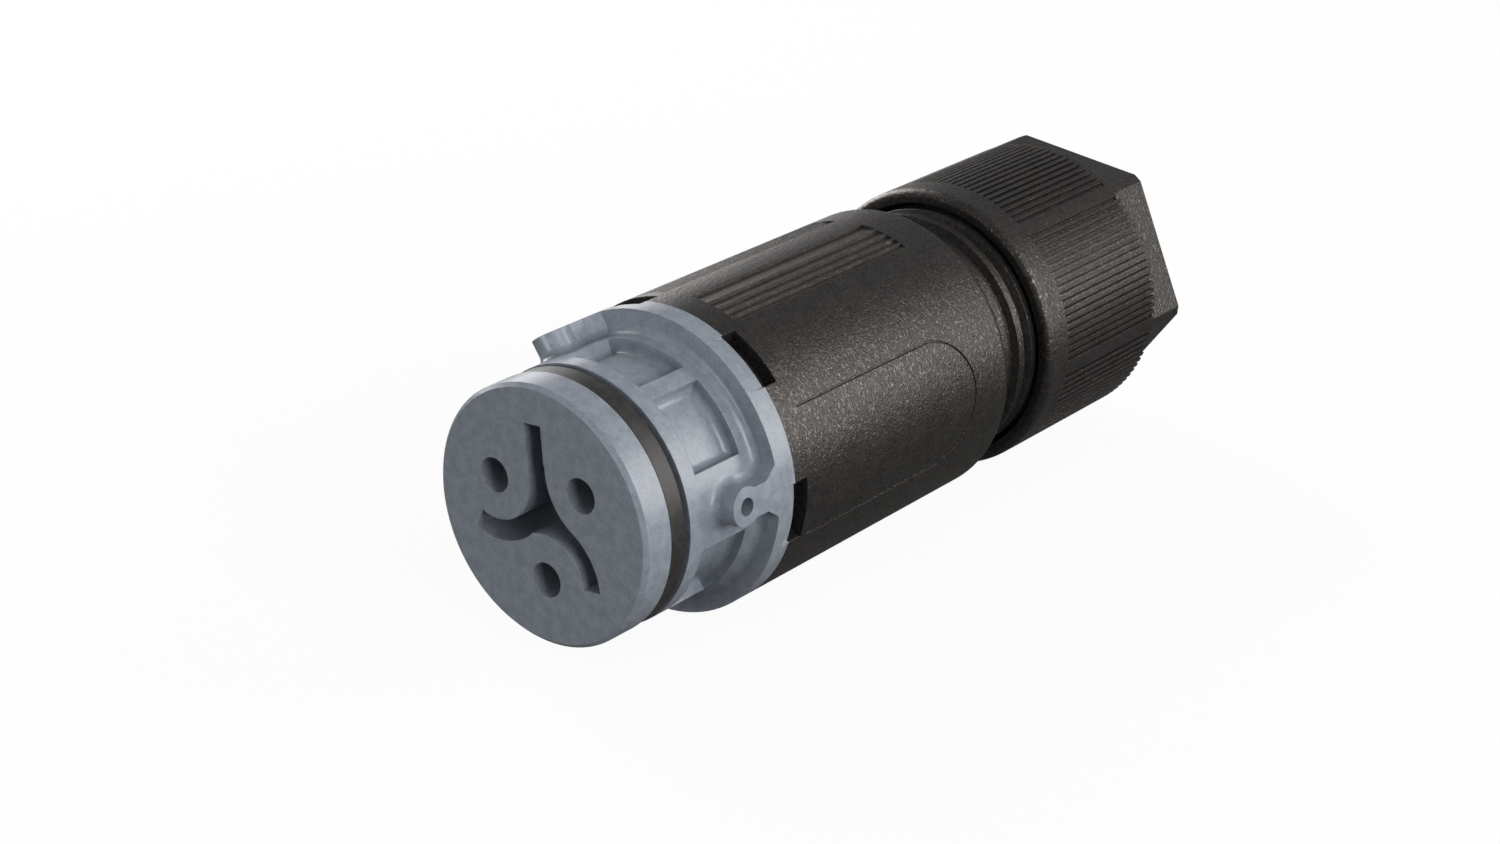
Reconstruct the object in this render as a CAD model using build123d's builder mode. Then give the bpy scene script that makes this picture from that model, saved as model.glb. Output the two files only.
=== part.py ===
from build123d import *
from math import acos, asin, atan2, cos, degrees, hypot, radians, sin, sqrt
import os

os.makedirs("parts", exist_ok=True)

# The plug axis lies along +Y. The mating face is at y = 0 and faces -Y; +Z is up.
# Angles about the axis are counted from +X towards +Z.

# Mating disc, seal groove, drum and flange of the contact carrier
disc_radius = 12.5
disc_length = 3.3
disc_edge_chamfer = 0.4
groove_width = 2.55
groove_depth = 2.1
front_seal_width = 2.15
seal_edge_chamfer = 0.2
drum_radius = 12.5
drum_length = 9.5
flange_root_fillet = 0.8
body_radius = 14.8
flange_thickness = 2.4

# Contacts: three on one circle
contact_count = 3
contact_circle_radius = 6.05
first_contact_angle = 35.3
contact_hole_radius = 1.67
contact_hole_length = 3.0
socket_radius = 1.95
socket_bore_radius = 1.5
socket_bore_depth = 12.0
socket_slit_width = 0.5
socket_slit_length = 9.0
socket_setback = 0.2
contact_clearance = 0.1

# Three-arm coding slot around the contacts
slot_width = 2.0
slot_depth = 9.0
left_island_radius = 4.25
lower_island_radius = 4.45
slot_corner_distance = 8.9
slot_corner_radius = 6.6
left_arm_end_angle = -113.0
lower_arm_end_angle = 5.5
lower_arm_span = 115.0
upper_arm_tip = (-0.7, 8.75)

# Moulding pockets of the drum, two kinds in each third
pocket_start = 1.75
pocket_length = 6.1
pocket_depth = 1.4
pocket_floor_fillet = 0.7
wide_pocket_angle = 87.2
wide_pocket_span = 42.8
narrow_pocket_angle = 40.1
narrow_pocket_span = 35.4

# Radial bosses with a neck that widens into the flange
boss_angle = 5.4
boss_setback = 4.4
boss_radius = 1.88
boss_hole_radius = 0.85
boss_hole_depth = 3.0
neck_half_width = 1.45
shoulder_half_width = 2.5
shoulder_length = 1.5

# Rear body of the carrier and its terminal chambers
spigot_length = 22.25
housing_fit = 0.2
housing_seal_setback = 2.75
housing_seal_width = 2.2
housing_seal_height = 1.5
seal_clearance = 0.1
chamber_depth = 13.0
chamber_clearance = 0.2
key_count = 3
key_angle = 83.1
key_width = 2.4
key_height = 0.6
key_length = 2.2

# Screw terminals
cage_bottom_radius = 3.25
cage_half_width = 3.1
cage_side_wall = 0.8
cage_bottom_wall = 0.8
cage_top_wall = 1.3
cage_length = 7.5
cage_setback = 2.5
tang_thickness = 0.8
tang_gap = 0.05
tang_half_width = 1.9
wire_gap = 2.2
plate_thickness = 0.6
plate_side_gap = 0.1
plate_top_gap = 0.1
screw_radius = 1.3
screw_running_gap = 0.05
screw_head_radius = 2.3
screw_head_height = 1.5
screw_head_gap = 0.2
screw_head_setback = 0.25
screw_slot_width = 0.6
screw_slot_depth = 0.7

# Rear cover with wire funnels
guide_thickness = 4.0
guide_plug_length = 1.8
funnel_inner_radius = 1.9
funnel_outer_radius = 3.0

# Housing sleeve
housing_length = 34.0
housing_wall = 2.2
housing_rear_fillet = 1.0
notch_count = 6
notch_angle = 53.1
notch_span = 24.0
notch_length = 1.7
notch_depth = 1.6
rim_relief_depth = 0.25
rim_relief_length = 1.0
outline_half_width = 6.25
outline_start = 2.5
outline_straight = 19.35
outline_width = 0.2
outline_depth = 0.15
grip_angle = 95.9
grip_inset = 1.57
grip_step = 0.33
grip_step_count = 5
grip_start = 2.95
grip_length = 25.7

# Rear thread of the housing: neck and thread turns
nut_wall = 1.82
nut_running_gap = 0.08
thread_depth = 0.8
thread_pitch = 2.2
thread_crest = 0.9
thread_flank = 0.35
thread_turns = 5
neck_length = 4.3
cage_seat_length = 6.0

# Clamp cage and gland seal
cage_seat_wall = 1.2
cage_wall = 2.0
cage_seat_gap = 0.1
cable_space_step = 1.0
finger_length = 9.5
finger_slot_width = 1.3
finger_count = 8
finger_tip_wall = 0.6
finger_taper_length = 3.5
gland_lip_width = 1.3
gland_lip_length = 1.0
gland_seal_gap = 0.2
gland_seal_wall = 2.6
gland_seal_length = 13.5

# Cap nut and thrust ring
nut_gap = 6.95
nut_length = 24.7
nut_edge_fillet = 0.8
nut_mouth_gap = 0.45
nut_mouth_length = 1.2
nut_thread_length = 11.1
nut_taper_length = 2.0
nut_cavity_gap = 0.6
nut_end_wall = 2.4
nut_entry_step = 0.1
nut_entry_chamfer = 0.8
hex_length = 5.1
hex_apothem = 13.05
hex_angle = 23.5
rib_face_count = 6
ribs_per_face = 18
rib_pitch_angle = 3.06
rib_depth = 0.45
rib_start = 3.35
thrust_ring_length = 3.8
thrust_ring_gap = 0.1
thrust_ring_lip = 0.4
thrust_cone_step = 0.2

# Stations along the axis
groove_front = disc_length
drum_front = disc_length + groove_width
pocket_front = drum_front + pocket_start
flange_front = drum_front + drum_length
flange_rear = flange_front + flange_thickness
spigot_rear = flange_rear + spigot_length
chamber_front = spigot_rear - chamber_depth
cage_front = chamber_front + cage_setback
terminal_y = cage_front + cage_length / 2
guide_rear = spigot_rear + guide_thickness
housing_rear = flange_rear + housing_length
thread_front = housing_rear + neck_length
thread_rear = thread_front + thread_turns * thread_pitch - (thread_pitch - thread_crest)
seat_front = thread_rear - cage_seat_length
nut_front = housing_rear + nut_gap
nut_rear = nut_front + nut_length
hex_front = nut_rear - hex_length
nut_floor = nut_rear - nut_end_wall

# Radii and radial levels that follow from the sizes above
flange_root_radius = min(flange_root_fillet, (body_radius - drum_radius) / 2)
housing_bore_radius = body_radius - housing_wall
spigot_radius = housing_bore_radius - housing_fit
contact_bore_radius = socket_radius + contact_clearance
tang_bottom = cage_bottom_radius + cage_bottom_wall + tang_gap
tang_top = tang_bottom + tang_thickness
plate_bottom = tang_top + wire_gap
plate_top = plate_bottom + plate_thickness
cage_ceiling = plate_top + plate_top_gap
cage_top_radius = cage_ceiling + cage_top_wall
screw_head_top = spigot_radius - screw_head_setback
screw_head_bottom = screw_head_top - screw_head_height
wire_level = (tang_top + plate_bottom) / 2
nut_thread_radius = body_radius - nut_wall
thread_major_radius = nut_thread_radius - nut_running_gap
thread_root_radius = thread_major_radius - thread_depth
seat_radius = thread_root_radius - cage_seat_wall
cage_outer_radius = seat_radius - cage_seat_gap
cage_inner_radius = cage_outer_radius - cage_wall
gland_seal_radius = cage_inner_radius - gland_seal_gap
cable_space_radius = cage_outer_radius - cable_space_step
nut_cavity_radius = cage_outer_radius + nut_cavity_gap
thrust_cone_inner_radius = cage_inner_radius - thrust_cone_step
nut_entry_radius = thrust_cone_inner_radius - nut_entry_step

contact_angles = [first_contact_angle + i * 360 / contact_count for i in range(contact_count)]
boss_angles = [boss_angle + i * 360 / contact_count for i in range(contact_count)]


def axial_plane(y):
    """Plane across the axis at station y, with local x along +X and local y along +Z."""
    return Plane.XZ.offset(-y)


def radial_plane(angle, level=0.0, y=0.0):
    """Plane square to the radius at an angle: local x runs along the axis, local y round it."""
    outward = Vector(cos(radians(angle)), 0, sin(radians(angle)))
    return Plane(origin=outward * level + Vector(0, y, 0), x_dir=(0, 1, 0), z_dir=outward)


def upright_plane(angle, y):
    """Plane across the axis with its local y pointing outward at an angle."""
    side = (sin(radians(angle)), 0, -cos(radians(angle)))
    return Plane(origin=(0, y, 0), x_dir=side, z_dir=(0, -1, 0))


def on_circle(radius, angle):
    return (radius * cos(radians(angle)), radius * sin(radians(angle)))


def sector(inner, outer, centre_angle, span):
    """Ring sector outline in the active sketch."""
    start = centre_angle - span / 2
    with BuildLine() as outline:
        low = CenterArc((0, 0), inner, start, span)
        high = CenterArc((0, 0), outer, start, span)
        Line(low @ 0, high @ 0)
        Line(low @ 1, high @ 1)
    make_face(outline.edges())


right_contact, left_contact, lower_contact = (on_circle(contact_circle_radius, a) for a in contact_angles)

# Wide and narrow pocket shapes, with rounded floor corners
with BuildPart() as wide_pocket:
    with BuildSketch(axial_plane(pocket_front)):
        sector(drum_radius - pocket_depth, body_radius, wide_pocket_angle, wide_pocket_span)
    extrude(amount=-pocket_length)
    floor = wide_pocket.faces().filter_by(GeomType.CYLINDER).sort_by(SortBy.AREA)[0]
    fillet(floor.edges(), pocket_floor_fillet)

with BuildPart() as narrow_pocket:
    with BuildSketch(axial_plane(pocket_front)):
        sector(drum_radius - pocket_depth, body_radius, narrow_pocket_angle, narrow_pocket_span)
    extrude(amount=-pocket_length)
    floor = narrow_pocket.faces().filter_by(GeomType.CYLINDER).sort_by(SortBy.AREA)[0]
    fillet(floor.edges(), pocket_floor_fillet)

# Outline of the coding slot: the arms pass round the contacts and meet in one wide curve
corner_centre = on_circle(slot_corner_distance, first_contact_angle)
with BuildSketch(Plane.XZ) as coding_slot:
    with BuildLine():
        to_lower_arm = Line(corner_centre, lower_contact, mode=Mode.PRIVATE)
        Polyline((0, 0), (upper_arm_tip[0], corner_centre[1]), corner_centre, to_lower_arm @ 0.58, close=True)
    make_face()
    with Locations(corner_centre):
        Circle(slot_corner_radius, mode=Mode.SUBTRACT)
    with BuildLine():
        left_arc = CenterArc(left_contact, left_island_radius + slot_width / 2,
                             left_arm_end_angle, -left_arm_end_angle)
        Line(left_arc @ 1, upper_arm_tip)
    trace(line_width=slot_width)
    with BuildLine():
        CenterArc(lower_contact, lower_island_radius + slot_width / 2,
                  lower_arm_end_angle, lower_arm_span)
    trace(line_width=slot_width)

# Contact carrier
with BuildPart() as contact_carrier:
    with BuildSketch(Plane.XY) as carrier_profile:
        with BuildLine():
            Polyline(
                (0, 0),
                (disc_radius, 0),
                (disc_radius, groove_front),
                (disc_radius - groove_depth, groove_front),
                (disc_radius - groove_depth, drum_front),
                (drum_radius, drum_front),
                (drum_radius, flange_front),
                (body_radius, flange_front),
                (body_radius, flange_rear),
                (spigot_radius, flange_rear),
                (spigot_radius, spigot_rear),
                (0, spigot_rear),
                close=True,
            )
        make_face()
        chamfer(carrier_profile.vertices().sort_by_distance((disc_radius, 0))[0], disc_edge_chamfer)
    revolve(axis=Axis.Y)

    # Groove for the seal against the housing
    with BuildSketch(axial_plane(flange_rear + housing_seal_setback)):
        Circle(spigot_radius + housing_fit)
        Circle(spigot_radius - housing_seal_height, mode=Mode.SUBTRACT)
    extrude(amount=-(housing_seal_width + seal_clearance), mode=Mode.SUBTRACT)

    # Keys that stop the carrier turning in the housing
    for i in range(key_count):
        with BuildSketch(upright_plane(key_angle + i * 360 / key_count, flange_rear)):
            with Locations((0, spigot_radius)):
                Rectangle(key_width, 2 * key_height)
        extrude(amount=-key_length)

    # Bosses and necks on the drum, trimmed flush with the flange
    for angle in boss_angles:
        with BuildSketch(radial_plane(angle, drum_radius - pocket_depth / 2, flange_front)):
            with Locations((-boss_setback, 0)):
                Circle(boss_radius)
            with BuildLine():
                Polyline(
                    (-boss_setback, neck_half_width),
                    (-shoulder_length, neck_half_width),
                    (0, shoulder_half_width),
                    (flange_thickness / 2, shoulder_half_width),
                    (flange_thickness / 2, -shoulder_half_width),
                    (0, -shoulder_half_width),
                    (-shoulder_length, -neck_half_width),
                    (-boss_setback, -neck_half_width),
                    close=True,
                )
            make_face()
        extrude(amount=body_radius - drum_radius + pocket_depth)
    with BuildSketch(axial_plane(drum_front)):
        Circle(body_radius + 2)
        Circle(body_radius, mode=Mode.SUBTRACT)
    extrude(amount=-(drum_length + flange_thickness), mode=Mode.SUBTRACT)
    for angle in boss_angles:
        with BuildSketch(radial_plane(angle, body_radius - boss_hole_depth, flange_front - boss_setback)):
            Circle(boss_hole_radius)
        extrude(amount=boss_hole_depth + 1, mode=Mode.SUBTRACT)

    # Soft root where the drum meets the flange and the bosses
    boss_front = flange_front - boss_setback - boss_radius
    root = contact_carrier.edges().filter_by(lambda e: boss_front - 0.1 < e.center().Y < flange_front + 0.1)
    fillet(root.filter_by(lambda e: all(abs(hypot((e @ u).X, (e @ u).Z) - drum_radius) < 0.02 for u in (0, 0.5, 1))),
           flange_root_radius)

    # Pockets in each third of the drum
    for i in range(contact_count):
        turn = (0, i * 360 / contact_count, 0)
        add(wide_pocket.part, rotation=turn, mode=Mode.SUBTRACT)
        add(narrow_pocket.part, rotation=turn, mode=Mode.SUBTRACT)

    # Shallow relief on the rear edge of the flange behind each housing notch
    for i in range(notch_count):
        with BuildSketch(axial_plane(flange_rear - rim_relief_length)):
            sector(body_radius - rim_relief_depth, body_radius + 1, notch_angle + i * 360 / notch_count, notch_span)
        extrude(amount=-rim_relief_length, mode=Mode.SUBTRACT)

    # Coding slot
    with BuildSketch(Plane.XZ):
        add(coding_slot.sketch_local)
    extrude(amount=-slot_depth, mode=Mode.SUBTRACT)

    # Contact holes, contact bores and terminal chambers, the chambers open to the rear
    for angle in contact_angles:
        with BuildSketch(Plane.XZ):
            with Locations(on_circle(contact_circle_radius, angle)):
                Circle(contact_hole_radius)
        extrude(amount=-contact_hole_length, mode=Mode.SUBTRACT)
        with BuildSketch(axial_plane(contact_hole_length)):
            with Locations(on_circle(contact_circle_radius, angle)):
                Circle(contact_bore_radius)
        extrude(amount=-(chamber_front - contact_hole_length), mode=Mode.SUBTRACT)
        with BuildSketch(upright_plane(angle, chamber_front)):
            with Locations((0, (cage_bottom_radius + cage_top_radius) / 2)):
                Rectangle(2 * (cage_half_width + chamber_clearance),
                          cage_top_radius - cage_bottom_radius + 2 * chamber_clearance)
        extrude(amount=-chamber_depth, mode=Mode.SUBTRACT)
        with BuildSketch(radial_plane(angle, cage_top_radius, terminal_y)):
            Circle(screw_head_radius + screw_head_gap)
        extrude(amount=spigot_radius, mode=Mode.SUBTRACT)
contact_carrier.part.label = "contact_carrier"
export_step(contact_carrier.part, "parts/contact_carrier.step")

# Seal ring behind the mating disc
with BuildPart() as front_seal:
    with BuildSketch(Plane.XY) as seal_profile:
        with Locations((disc_radius - groove_depth / 2, groove_front + front_seal_width / 2)):
            Rectangle(groove_depth - 2 * seal_clearance, front_seal_width)
        chamfer(seal_profile.vertices().group_by(Axis.X)[-1], seal_edge_chamfer)
    revolve(axis=Axis.Y)
front_seal.part.label = "front_seal"
export_step(front_seal.part, "parts/front_seal.step")

# Seal ring between the carrier and the housing
with BuildPart() as housing_seal:
    with BuildSketch(Plane.XY) as seal_profile:
        with Locations((spigot_radius - housing_seal_height / 2 + seal_clearance,
                        flange_rear + housing_seal_setback + (housing_seal_width + seal_clearance) / 2)):
            Rectangle(housing_seal_height, housing_seal_width)
        chamfer(seal_profile.vertices().group_by(Axis.X)[-1], seal_edge_chamfer)
    revolve(axis=Axis.Y)
housing_seal.part.label = "housing_seal"
export_step(housing_seal.part, "parts/housing_seal.step")

# Contacts and screw terminals
socket_front = contact_hole_length + socket_setback
for i, angle in enumerate(contact_angles):
    outward = Vector(cos(radians(angle)), 0, sin(radians(angle)))

    # Slotted socket with a flat tang that reaches into the clamp body
    with BuildPart() as contact_socket:
        with BuildSketch(axial_plane(socket_front)):
            with Locations(on_circle(contact_circle_radius, angle)):
                Circle(socket_radius)
        extrude(amount=-(chamber_front - socket_front))
        with BuildSketch(axial_plane(socket_front)):
            with Locations(on_circle(contact_circle_radius, angle)):
                Circle(socket_bore_radius)
        extrude(amount=-socket_bore_depth, mode=Mode.SUBTRACT)
        for tilt in (0, 90):
            with BuildSketch(axial_plane(socket_front)):
                with Locations(Location(on_circle(contact_circle_radius, angle), angle + tilt)):
                    Rectangle(socket_slit_width, 3 * socket_radius)
            extrude(amount=-socket_slit_length, mode=Mode.SUBTRACT)
        with BuildSketch(radial_plane(angle, tang_bottom, chamber_front)):
            with Locations(((cage_setback + cage_length - 0.5) / 2, 0)):
                Rectangle(cage_setback + cage_length - 0.5, 2 * tang_half_width)
        extrude(amount=tang_thickness)
    contact_socket.part.label = f"contact_socket_{i + 1}"
    export_step(contact_socket.part, f"parts/contact_socket_{i + 1}.step")

    # Clamp body: a short square tube with a threaded hole in its outer wall
    with BuildPart() as terminal_body:
        with BuildSketch(upright_plane(angle, cage_front)):
            with Locations((0, (cage_bottom_radius + cage_top_radius) / 2)):
                Rectangle(2 * cage_half_width, cage_top_radius - cage_bottom_radius)
            with Locations((0, (cage_bottom_radius + cage_bottom_wall + cage_ceiling) / 2)):
                Rectangle(2 * (cage_half_width - cage_side_wall),
                          cage_ceiling - cage_bottom_radius - cage_bottom_wall, mode=Mode.SUBTRACT)
        extrude(amount=-cage_length)
        with BuildSketch(radial_plane(angle, cage_ceiling, terminal_y)):
            Circle(screw_radius + screw_running_gap)
        extrude(amount=cage_top_wall, mode=Mode.SUBTRACT)
    terminal_body.part.label = f"terminal_body_{i + 1}"
    export_step(terminal_body.part, f"parts/terminal_body_{i + 1}.step")

    # Pressure plate under the screw
    with BuildPart() as clamp_plate:
        with BuildSketch(radial_plane(angle, plate_bottom, terminal_y)):
            Rectangle(cage_length - 1, 2 * (cage_half_width - cage_side_wall - plate_side_gap))
        extrude(amount=plate_thickness)
        chamfer(clamp_plate.faces().sort_by(Axis((0, 0, 0), outward))[0].edges(), 0.15)
    clamp_plate.part.label = f"clamp_plate_{i + 1}"
    export_step(clamp_plate.part, f"parts/clamp_plate_{i + 1}.step")

    # Terminal screw, backed out as delivered
    with BuildPart() as terminal_screw:
        with BuildSketch(radial_plane(angle, plate_top, terminal_y)):
            Circle(screw_radius)
        extrude(amount=screw_head_bottom - plate_top)
        with BuildSketch(radial_plane(angle, screw_head_bottom, terminal_y)):
            Circle(screw_head_radius)
        extrude(amount=screw_head_height)
        with BuildSketch(radial_plane(angle, screw_head_top - screw_slot_depth, terminal_y)):
            Rectangle(3 * screw_head_radius, screw_slot_width)
        extrude(amount=screw_slot_depth, mode=Mode.SUBTRACT)
    terminal_screw.part.label = f"terminal_screw_{i + 1}"
    export_step(terminal_screw.part, f"parts/terminal_screw_{i + 1}.step")

# Rear cover of the chambers: plugs that enter them and funnels that lead the wires in
with BuildPart() as wire_guide:
    with BuildSketch(axial_plane(spigot_rear)):
        Circle(spigot_radius)
    extrude(amount=-guide_thickness)
    for angle in contact_angles:
        with BuildSketch(upright_plane(angle, spigot_rear - guide_plug_length)):
            with Locations((0, (cage_bottom_radius + cage_top_radius) / 2)):
                Rectangle(2 * cage_half_width, cage_top_radius - cage_bottom_radius)
        extrude(amount=-guide_plug_length)
    for angle in contact_angles:
        with BuildSketch(axial_plane(spigot_rear - guide_plug_length)):
            with Locations(on_circle(wire_level, angle)):
                Circle(funnel_inner_radius)
        with BuildSketch(axial_plane(guide_rear)):
            with Locations(on_circle(wire_level, angle)):
                Circle(funnel_outer_radius)
        loft(mode=Mode.SUBTRACT)
wire_guide.part.label = "wire_guide"
export_step(wire_guide.part, "parts/wire_guide.step")

# Fine U-shaped line that is engraved in the housing
with BuildPart() as outline_tool:
    with BuildSketch(radial_plane(boss_angle, housing_bore_radius, flange_rear + outline_start)):
        with BuildLine():
            near_side = Line((0, -outline_half_width), (outline_straight, -outline_half_width))
            round_end = RadiusArc(near_side @ 1, (outline_straight, outline_half_width), -outline_half_width)
            Line(round_end @ 1, (0, outline_half_width))
        trace(line_width=outline_width)
    extrude(amount=2 * housing_wall)
    with BuildSketch(axial_plane(flange_rear)):
        Circle(body_radius - outline_depth)
    extrude(amount=-housing_length, mode=Mode.SUBTRACT)

# Housing sleeve with its rear neck and thread turns
with BuildPart() as housing:
    with BuildSketch(Plane.XY) as housing_profile:
        with BuildLine():
            turns = [(thread_root_radius, housing_rear)]
            for i in range(thread_turns):
                front = thread_front + i * thread_pitch
                turns += [
                    (thread_root_radius, front - thread_flank),
                    (thread_major_radius, front),
                    (thread_major_radius, front + thread_crest),
                    (thread_root_radius, front + thread_crest + thread_flank),
                ]
            turns[-1] = (thread_major_radius - thread_flank, thread_rear + thread_flank)
            Polyline(
                (housing_bore_radius, flange_rear),
                (body_radius, flange_rear),
                (body_radius, housing_rear),
                *turns,
                (seat_radius, thread_rear + thread_flank),
                (seat_radius, seat_front),
                (cable_space_radius, seat_front),
                (cable_space_radius, guide_rear),
                (housing_bore_radius, guide_rear),
                close=True,
            )
        make_face()
        rear_corner = housing_profile.vertices().sort_by_distance((body_radius, housing_rear))[0]
        fillet(rear_corner, housing_rear_fillet)
    revolve(axis=Axis.Y)

    # Blind notches along the front edge
    for i in range(notch_count):
        with BuildSketch(axial_plane(flange_rear)):
            sector(body_radius - notch_depth, body_radius + 1, notch_angle + i * 360 / notch_count, notch_span)
        extrude(amount=-notch_length, mode=Mode.SUBTRACT)

    # Keyways for the carrier
    for i in range(key_count):
        with BuildSketch(upright_plane(key_angle + i * 360 / key_count, flange_rear)):
            with Locations((0, housing_bore_radius)):
                Rectangle(key_width + 2 * housing_fit, 2 * (key_height + housing_fit))
        extrude(amount=-(key_length + housing_fit), mode=Mode.SUBTRACT)

    # Grip panels: stairs of equal height that follow the round wall, on both sides of two ridges
    levels = [sqrt(body_radius**2 - grip_inset**2) - i * grip_step for i in range(grip_step_count + 1)]
    edges_out = [sqrt(body_radius**2 - level**2) for level in levels]
    for ridge in (grip_angle, grip_angle + 180):
        for side in (1, -1):
            stairs = [(side * edges_out[0], body_radius + 1)]
            for i in range(grip_step_count):
                stairs += [(side * edges_out[i], levels[i + 1]), (side * edges_out[i + 1], levels[i + 1])]
            stairs.append((side * edges_out[-1], body_radius + 1))
            with BuildSketch(upright_plane(ridge, flange_rear + grip_start)):
                with BuildLine():
                    Polyline(*stairs, close=True)
                make_face()
            extrude(amount=-grip_length, mode=Mode.SUBTRACT)

    # Engraved line on both sides
    for turn in (0, 180):
        add(outline_tool.part, rotation=(0, turn, 0), mode=Mode.SUBTRACT)
housing.part.label = "housing"
export_step(housing.part, "parts/housing.step")

# Slotted clamp cage in the rear seat of the housing
finger_tip = seat_front + cage_seat_length + thread_flank + finger_length
with BuildPart() as clamp_cage:
    with BuildSketch(Plane.XY):
        with BuildLine():
            Polyline(
                (cage_inner_radius - gland_lip_width, seat_front),
                (cage_outer_radius, seat_front),
                (cage_outer_radius, finger_tip - finger_taper_length),
                (cage_inner_radius + finger_tip_wall, finger_tip),
                (cage_inner_radius, finger_tip),
                (cage_inner_radius, seat_front + gland_lip_length),
                (cage_inner_radius - gland_lip_width, seat_front + gland_lip_length),
                close=True,
            )
        make_face()
    revolve(axis=Axis.Y)
    for i in range(finger_count // 2):
        with BuildSketch(upright_plane(i * 360 / finger_count, thread_rear + 2 * thread_flank)):
            Rectangle(finger_slot_width, 2 * body_radius)
        extrude(amount=-finger_length, mode=Mode.SUBTRACT)
clamp_cage.part.label = "clamp_cage"
export_step(clamp_cage.part, "parts/clamp_cage.step")

# Rubber sleeve that grips the cable
with BuildPart() as gland_seal:
    with BuildSketch(axial_plane(seat_front + gland_lip_length)):
        Circle(gland_seal_radius)
        Circle(gland_seal_radius - gland_seal_wall, mode=Mode.SUBTRACT)
    extrude(amount=-gland_seal_length)
    chamfer(gland_seal.edges().filter_by(GeomType.CIRCLE).group_by(Axis.Y)[-1], 0.5)
gland_seal.part.label = "gland_seal"
export_step(gland_seal.part, "parts/gland_seal.step")

# Slip ring with an inner cone, seated on the end wall of the nut
with BuildPart() as thrust_ring:
    ring_radius = nut_cavity_radius - thrust_ring_gap
    with BuildSketch(Plane.XY):
        with BuildLine():
            Polyline(
                (ring_radius - thrust_ring_lip, nut_floor - thrust_ring_length),
                (ring_radius, nut_floor - thrust_ring_length),
                (ring_radius, nut_floor),
                (thrust_cone_inner_radius, nut_floor),
                close=True,
            )
        make_face()
    revolve(axis=Axis.Y)
thrust_ring.part.label = "thrust_ring"
export_step(thrust_ring.part, "parts/thrust_ring.step")

# Cap nut: round body with rib panels over each wrench flat and a hexagon at its rear
with BuildPart() as cap_nut:
    with BuildSketch(Plane.XY) as nut_profile:
        with BuildLine():
            taper_front = nut_front + nut_mouth_length + nut_thread_length
            Polyline(
                (nut_thread_radius + nut_mouth_gap, nut_front),
                (body_radius, nut_front),
                (body_radius, nut_rear),
                (nut_entry_radius + nut_entry_chamfer, nut_rear),
                (nut_entry_radius, nut_rear - nut_entry_chamfer),
                (nut_entry_radius, nut_floor),
                (nut_cavity_radius, nut_floor),
                (nut_cavity_radius, taper_front + nut_taper_length),
                (nut_thread_radius, taper_front),
                (nut_thread_radius, nut_front + nut_mouth_length + nut_mouth_gap),
                (nut_thread_radius + nut_mouth_gap, nut_front + nut_mouth_length),
                close=True,
            )
        make_face()
        fillet(nut_profile.vertices().sort_by_distance((body_radius, nut_front))[0], nut_edge_fillet)
    revolve(axis=Axis.Y)

    # Wrench hexagon
    with BuildSketch(axial_plane(hex_front)):
        Circle(body_radius + 1)
        RegularPolygon(hex_apothem, 6, major_radius=False, rotation=hex_angle + 30, mode=Mode.SUBTRACT)
    extrude(amount=-hex_length, mode=Mode.SUBTRACT)

    # Rib panels, one over each flat
    first_rib = -rib_pitch_angle * (ribs_per_face - 1) / 2
    with BuildSketch(axial_plane(nut_front + rib_start)):
        for face in range(rib_face_count):
            for i in range(ribs_per_face):
                sector(body_radius - rib_depth, body_radius + 1,
                       hex_angle + face * 360 / rib_face_count + first_rib + i * rib_pitch_angle,
                       rib_pitch_angle / 2)
    extrude(amount=-(nut_length - rib_start - hex_length), mode=Mode.SUBTRACT)
cap_nut.part.label = "cap_nut"
export_step(cap_nut.part, "parts/cap_nut.step")
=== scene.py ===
import bpy
import math
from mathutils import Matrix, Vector


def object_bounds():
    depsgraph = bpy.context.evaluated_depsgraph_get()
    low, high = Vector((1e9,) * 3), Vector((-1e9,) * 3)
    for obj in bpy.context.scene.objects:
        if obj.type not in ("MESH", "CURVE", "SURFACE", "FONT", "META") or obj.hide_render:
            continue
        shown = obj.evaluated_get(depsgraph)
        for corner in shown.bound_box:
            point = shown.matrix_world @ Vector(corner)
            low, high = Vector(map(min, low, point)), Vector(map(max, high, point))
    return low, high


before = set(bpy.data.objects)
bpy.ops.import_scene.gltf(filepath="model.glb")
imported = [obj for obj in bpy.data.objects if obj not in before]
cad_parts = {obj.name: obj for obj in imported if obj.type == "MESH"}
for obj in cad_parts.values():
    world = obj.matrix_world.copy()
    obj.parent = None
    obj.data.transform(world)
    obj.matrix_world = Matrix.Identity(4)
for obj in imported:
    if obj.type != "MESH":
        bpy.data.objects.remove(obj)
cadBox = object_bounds()


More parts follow.
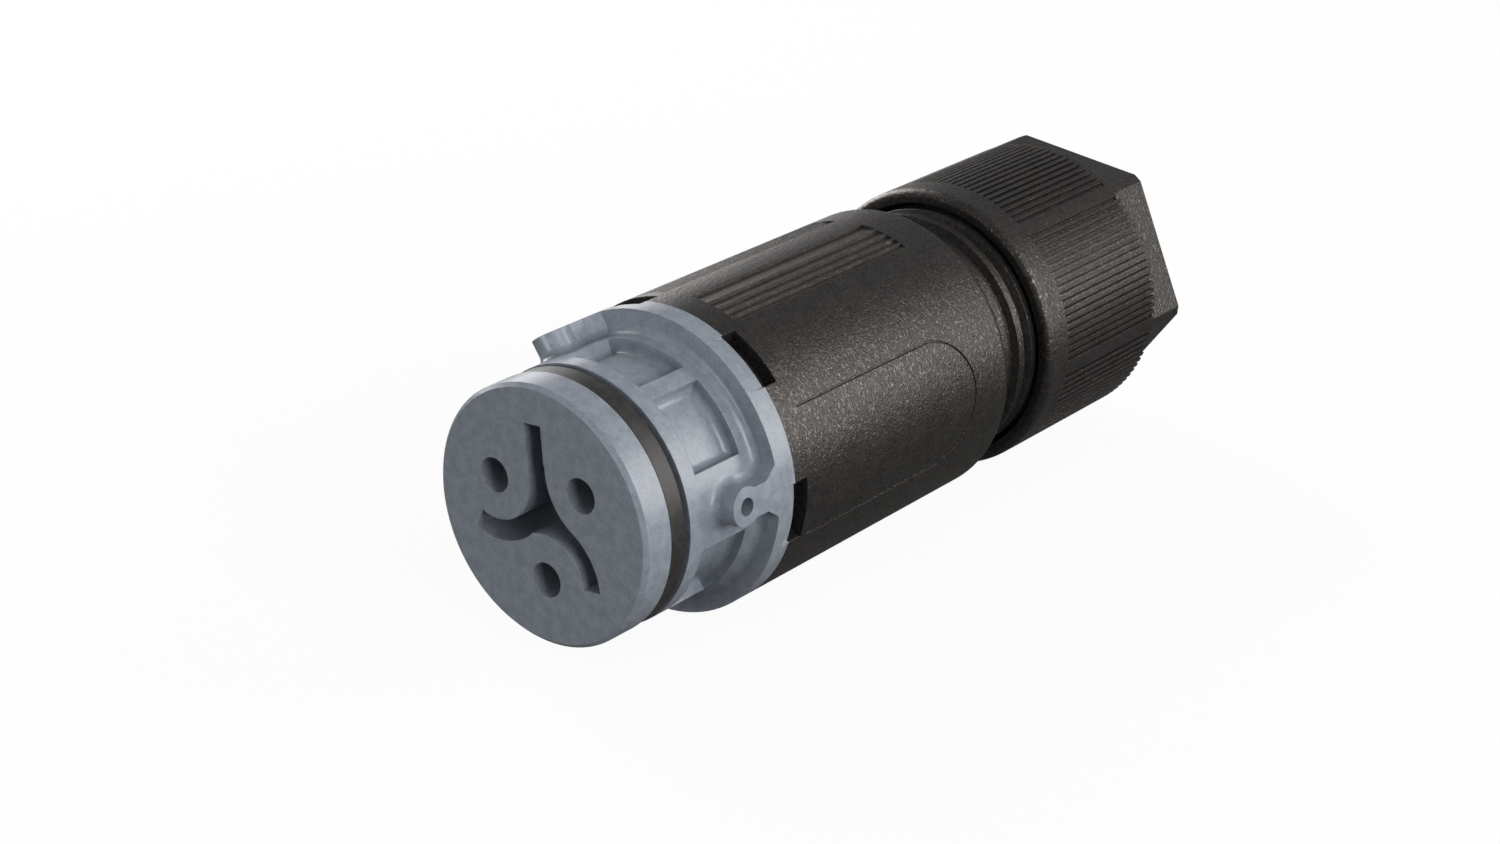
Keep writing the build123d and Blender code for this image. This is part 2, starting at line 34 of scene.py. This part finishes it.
# A socket of a shader tree that can be used in plain expressions.
class Wire:
    def __init__(self, tree, socket):
        self.tree, self.socket = tree, socket

    def isVector(self):
        return self.socket.type in ("VECTOR", "RGBA")

    # A colour or vector among the parts makes it a Vector Math node.
    def maths(self, operation, *parts):
        vector = any(isinstance(part, tuple) or isinstance(part, Wire) and part.isVector() for part in parts)
        node = self.tree.nodes.new("ShaderNodeVectorMath" if vector else "ShaderNodeMath")
        node.operation = operation
        for slot, part in zip(node.inputs, parts):
            if isinstance(part, Wire):
                self.tree.links.new(part.socket, slot)
            elif vector and not isinstance(part, tuple):
                slot.default_value = (part, part, part)
            else:
                slot.default_value = part
        return Wire(self.tree, node.outputs[0])

    def __add__(self, other):
        return self.maths("ADD", self, other)

    def __radd__(self, other):
        return self.maths("ADD", other, self)

    def __sub__(self, other):
        return self.maths("SUBTRACT", self, other)

    def __rsub__(self, other):
        return self.maths("SUBTRACT", other, self)

    def __mul__(self, other):
        return self.maths("MULTIPLY", self, other)

    def __rmul__(self, other):
        return self.maths("MULTIPLY", other, self)

    def __abs__(self):
        return self.maths("ABSOLUTE", self)

    def most(self, other):
        return self.maths("MAXIMUM", self, other)


# A shader tree, emptied, and the way any node goes into it: its settings first, then its sockets.
class Graph:
    def __init__(self, tree):
        self.tree = tree
        self.tree.nodes.clear()

    def node(self, kind, settings=(), sockets=(), out=0):
        made = self.tree.nodes.new("ShaderNode" + kind)
        for key, value in dict(settings).items():
            setattr(made, key, value)
        for key, value in dict(sockets).items():
            slot = made.inputs[key]
            if isinstance(value, Wire):
                self.tree.links.new(value.socket, slot)
            else:
                slot.default_value = value
        return Wire(self.tree, made.outputs[out]) if made.outputs else None

    def show(self, shader, output="OutputMaterial"):
        self.node(output, sockets={"Surface": shader})


# A material and the nodes that the finishes below share.
class Finish(Graph):
    def __init__(self, name):
        self.material = bpy.data.materials.new(name)
        self.material.use_nodes = True
        super().__init__(self.material.node_tree)

    def place(self):
        return self.node("TexCoord", out="Object")

    def ramp(self, value, low, high):
        return self.node("MapRange", {"interpolation_type": "SMOOTHSTEP"},
                         {"Value": value, "From Min": low, "From Max": high, "To Min": 0.0, "To Max": 1.0})

    def blend(self, mask, first, second):
        return self.node("Mix", {"data_type": "RGBA"}, {0: mask, 6: first, 7: second}, out=2)

    def noise(self, at, scale, detail, roughness=0.5, warp=0.0):
        return self.node("TexNoise", sockets={"Vector": at, "Scale": scale, "Detail": detail,
                                              "Roughness": roughness, "Distortion": warp})

    def softEdge(self, radius):
        return self.node("Bevel", {"samples": 4}, {"Radius": radius})

    def bump(self, height, strength, distance, under=None):
        sockets = {"Height": height, "Strength": strength, "Distance": distance}
        if under is not None:
            sockets["Normal"] = under
        return self.node("Bump", sockets=sockets)

    def surface(self, **sockets):
        named = {key.replace("_", " "): value for key, value in sockets.items()}
        self.show(self.node("BsdfPrincipled", sockets=named))


# Camera at the photograph's viewing angle.
cameraCfg = dict(place=(0.157200, -0.162449, 0.106857), yaw=0.686749, pitch=-0.409025, lens=67.555,
                 sensor=36.0, near=0.001, far=20.0)
cameraData = bpy.data.cameras.new("camera")
cameraData.lens, cameraData.sensor_width = cameraCfg["lens"], cameraCfg["sensor"]
cameraData.sensor_fit = "HORIZONTAL"
cameraData.clip_start, cameraData.clip_end = cameraCfg["near"], cameraCfg["far"]
camera = bpy.data.objects.new("camera", cameraData)
camera.location = cameraCfg["place"]
camera.rotation_euler = (math.pi / 2 + cameraCfg["pitch"], 0.0, cameraCfg["yaw"])
bpy.context.scene.collection.objects.link(camera)
bpy.context.scene.camera = camera
print("camera set")

# Pale blue-grey moulded plastic of the contact insert and the wire guide: satin, cloudy, with a fine speckle.
greyCfg = dict(
    dark=(0.205, 0.228, 0.265, 1.0), light=(0.262, 0.288, 0.330, 1.0), pale=(0.36, 0.385, 0.42, 1.0),
    cloudScale=900.0, cloudShare=0.6, speckleScale=5200.0, speckleShare=0.4,
    toneRange=(0.38, 0.62), paleRange=(0.60, 0.75), paleShare=0.35,
    roughness=0.32, roughnessSpread=0.2, edge=0.00012, grain=0.000012, grainStrength=0.5,
)
greyPlastic = Finish("greyPlastic")
at = greyPlastic.place()
cloud = greyPlastic.noise(at, greyCfg["cloudScale"], detail=3.0, roughness=0.6)
speckle = greyPlastic.noise(at, greyCfg["speckleScale"], detail=2.0, roughness=0.6)
mottle = cloud * greyCfg["cloudShare"] + speckle * greyCfg["speckleShare"]
tone = greyPlastic.blend(greyPlastic.ramp(mottle, *greyCfg["toneRange"]), greyCfg["dark"], greyCfg["light"])
spots = greyPlastic.ramp(speckle, *greyCfg["paleRange"]) * greyCfg["paleShare"]
greyPlastic.surface(
    Base_Color=greyPlastic.blend(spots, tone, greyCfg["pale"]),
    Roughness=greyCfg["roughness"] + (cloud - 0.5) * greyCfg["roughnessSpread"],
    Normal=greyPlastic.bump(speckle, greyCfg["grainStrength"], greyCfg["grain"],
                            greyPlastic.softEdge(greyCfg["edge"])),
)

# Black moulded plastic: a fine leathery grain with a brown-grey sheen, and short curved flecks that catch the light.
blackCfg = dict(
    dark=(0.0105, 0.0101, 0.0100, 1.0), light=(0.0160, 0.0153, 0.0149, 1.0), sheen=(1.0, 0.93, 0.87, 1.0),
    cloudScale=700.0, cloudRange=(0.35, 0.65), roughness=0.37, roughnessSpread=0.10,
    fleck=(0.112, 0.102, 0.093, 1.0), fleckRoughness=0.29, strokeScale=1900.0, strokeWarp=1.2,
    strokeSharpness=8.0, strokeRange=(0.05, 0.85), breakScale=2600.0, breakRange=(0.48, 0.60),
    grainScale=3200.0, grainWarp=0.6, grain=0.000066, edge=0.00012,
)
blackPlastic = Finish("blackPlastic")
at = blackPlastic.place()
cloud = blackPlastic.noise(at, blackCfg["cloudScale"], detail=3.0, roughness=0.55)
grain = blackPlastic.noise(at, blackCfg["grainScale"], detail=2.0, roughness=0.6, warp=blackCfg["grainWarp"])
# A stroke runs where the warped noise passes its middle value, and a second noise breaks it into flecks.
stroke = blackPlastic.noise(at, blackCfg["strokeScale"], detail=1.0, warp=blackCfg["strokeWarp"])
line = 1.0 - abs(stroke - 0.5) * blackCfg["strokeSharpness"]
broken = blackPlastic.ramp(blackPlastic.noise(at, blackCfg["breakScale"], detail=1.0), *blackCfg["breakRange"])
fleck = blackPlastic.ramp(line, *blackCfg["strokeRange"]) * broken
ground = blackPlastic.blend(blackPlastic.ramp(cloud, *blackCfg["cloudRange"]), blackCfg["dark"], blackCfg["light"])
uneven = blackCfg["roughness"] + (cloud - 0.5) * blackCfg["roughnessSpread"]
blackPlastic.surface(
    Base_Color=blackPlastic.blend(fleck, ground, blackCfg["fleck"]),
    Metallic=fleck,
    Roughness=uneven - fleck * (blackCfg["roughness"] - blackCfg["fleckRoughness"]),
    Specular_Tint=blackCfg["sheen"],
    Normal=blackPlastic.bump(grain, 1.0, blackCfg["grain"], blackPlastic.softEdge(blackCfg["edge"])),
)

# Dark rubber of the seals, smooth and a little cloudy.
rubberCfg = dict(
    dark=(0.018, 0.0170, 0.016, 1.0), light=(0.036, 0.0335, 0.031, 1.0), cloudScale=1100.0, cloudRange=(0.35, 0.7),
    roughness=0.46, roughnessSpread=0.25, edge=0.00010, grain=0.000015, grainStrength=0.4,
)
sealRubber = Finish("sealRubber")
at = sealRubber.place()
cloud = sealRubber.noise(at, rubberCfg["cloudScale"], detail=4.0, roughness=0.65)
sealRubber.surface(
    Base_Color=sealRubber.blend(sealRubber.ramp(cloud, *rubberCfg["cloudRange"]),
                                rubberCfg["dark"], rubberCfg["light"]),
    Roughness=rubberCfg["roughness"] + (cloud - 0.5) * rubberCfg["roughnessSpread"],
    Normal=sealRubber.bump(cloud, rubberCfg["grainStrength"], rubberCfg["grain"],
                           sealRubber.softEdge(rubberCfg["edge"])),
)

# Plated metals of the contacts, clamps and screws: brushed along the connector's axis, dull in places.
metalCfg = {
    "contactMetal": dict(tint=(0.62, 0.61, 0.58, 1.0), dull=(0.50, 0.49, 0.46, 1.0), roughness=0.32),
    "clampMetal": dict(tint=(0.56, 0.54, 0.48, 1.0), dull=(0.44, 0.42, 0.37, 1.0), roughness=0.38),
    "screwMetal": dict(tint=(0.58, 0.58, 0.57, 1.0), dull=(0.46, 0.46, 0.46, 1.0), roughness=0.30),
}
brushCfg = dict(
    stretch=(1.0, 0.12, 1.0), scale=4000.0, cloudScale=500.0, cloudRange=(0.3, 0.7),
    roughnessSpread=0.2, grain=0.00001, grainStrength=0.2,
)
metals = {}
for name, cfg in metalCfg.items():
    metal = metals[name] = Finish(name)
    at = metal.place()
    brushed = metal.noise(at * brushCfg["stretch"], brushCfg["scale"], detail=2.0)
    cloud = metal.noise(at, brushCfg["cloudScale"], detail=3.0, roughness=0.6)
    metal.surface(
        Base_Color=metal.blend(metal.ramp(cloud, *brushCfg["cloudRange"]), cfg["dull"], cfg["tint"]),
        Metallic=1.0,
        Roughness=cfg["roughness"] + (brushed - 0.5) * brushCfg["roughnessSpread"],
        Normal=metal.bump(brushed, brushCfg["grainStrength"], brushCfg["grain"]),
    )

finishOf = {
    "contact_carrier": greyPlastic, "wire_guide": greyPlastic,
    "front_seal": sealRubber, "housing_seal": sealRubber, "gland_seal": sealRubber,
    "housing": blackPlastic, "cap_nut": blackPlastic, "clamp_cage": blackPlastic, "thrust_ring": blackPlastic,
}
for number in (1, 2, 3):
    finishOf[f"contact_socket_{number}"] = metals["contactMetal"]
    finishOf[f"terminal_body_{number}"] = metals["clampMetal"]
    finishOf[f"clamp_plate_{number}"] = metals["clampMetal"]
    finishOf[f"terminal_screw_{number}"] = metals["screwMetal"]
for name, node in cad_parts.items():
    for slot in node.material_slots:
        slot.material = finishOf[name].material
print("finishes given to", len(finishOf), "nodes")

# Floor: white to the camera, a dim card to the object, so that the underside stays dark.
floorCfg = dict(
    size=3.0, centre=(0.0, 0.04), drop=0.0001, seen=(0.88, 0.88, 0.88, 1.0), card=(0.05, 0.05, 0.05, 1.0),
    glow=(1.0, 1.0, 1.0, 1.0), cameraShare=0.93, mirrorShare=0.07, fibreScale=30.0, fibreRoughness=0.2,
)
floorLevel = cadBox[0][2] - floorCfg["drop"]
bpy.ops.mesh.primitive_plane_add(size=floorCfg["size"], location=(*floorCfg["centre"], floorLevel))
floor = bpy.context.object
floor.name = "floor"
paper = Finish("floorPaper")
byCamera = paper.node("LightPath", out="Is Camera Ray")
byMirror = paper.node("LightPath", out="Is Glossy Ray").most(paper.node("LightPath", out="Is Transmission Ray"))
fibre = paper.noise(paper.place(), floorCfg["fibreScale"], detail=3.0, roughness=0.6)
matte = paper.node("BsdfDiffuse", sockets={"Color": paper.blend(byCamera, floorCfg["card"], floorCfg["seen"]),
                                           "Roughness": fibre * floorCfg["fibreRoughness"]})
glow = paper.node("Emission", sockets={"Color": floorCfg["glow"], "Strength": 1.0})
share = byCamera * floorCfg["cameraShare"] + byMirror * floorCfg["mirrorShare"]
paper.show(paper.node("MixShader", sockets={0: share, 1: matte, 2: glow}))
floor.data.materials.append(paper.material)
print("floor laid")

# World: an even grey for the object, white behind it.
worldCfg = dict(light=(0.97, 0.98, 1.0, 1.0), strength=0.25, backdrop=(1.0, 1.0, 1.0, 1.0))
world = bpy.data.worlds.new("studio")
world.use_nodes = True
bpy.context.scene.world = world
studio = Graph(world.node_tree)
ambient = studio.node("Background", sockets={"Color": worldCfg["light"], "Strength": worldCfg["strength"]})
backdrop = studio.node("Background", sockets={"Color": worldCfg["backdrop"]})
toCamera = studio.node("LightPath", out="Is Camera Ray")
studio.show(studio.node("MixShader", sockets={0: toCamera, 1: ambient, 2: backdrop}), "OutputWorld")

# Lamps: a tall soft box low behind on the right draws the long sheen. Two weaker ones behind on the left draw the
# sheens of the sleeve and of the rims there. One at each side and one in front light the grey plastic.
# They point at lampAim, and way is the direction from there to the lamp.
lampAim = Vector((0.0, 0.03, 0.0))
plain, warm = (1.0, 1.0, 1.0), (1.0, 0.98, 0.96)
lampCfg = {
    "sheenRight": dict(way=(0.732, 0.613, 0.300), tint=warm, reach=0.50, wide=0.15, tall=0.46, watts=1.45),
    "sheenLeft": dict(way=(-0.735, 0.653, 0.130), tint=warm, reach=0.50, wide=0.16, tall=0.15, watts=0.03),
    "rimLeft": dict(way=(-0.775, 0.600, 0.150), tint=plain, reach=0.45, wide=0.11, tall=0.20, watts=0.145),
    "keyRight": dict(way=(0.93, -0.17, 0.36), tint=plain, reach=0.50, wide=0.30, tall=0.30, watts=1.80),
    "keyLeft": dict(way=(-0.90, 0.20, 0.38), tint=plain, reach=0.50, wide=0.30, tall=0.30, watts=2.1),
    "fillFront": dict(way=(-0.10, -0.98, 0.02), tint=plain, reach=0.50, wide=0.20, tall=0.20, watts=1.08),
}
for name, cfg in lampCfg.items():
    lampData = bpy.data.lights.new(name, "AREA")
    lampData.shape, lampData.size, lampData.size_y = "RECTANGLE", cfg["wide"], cfg["tall"]
    lampData.energy, lampData.color = cfg["watts"], cfg["tint"]
    lamp = bpy.data.objects.new(name, lampData)
    way = Vector(cfg["way"]).normalized()
    lamp.location = lampAim + way * cfg["reach"]
    lamp.rotation_euler = way.to_track_quat("Z", "Y").to_euler()
    bpy.context.scene.collection.objects.link(lamp)
print("lamps:", len(lampCfg))

bpy.context.scene.view_settings.view_transform = "Standard"
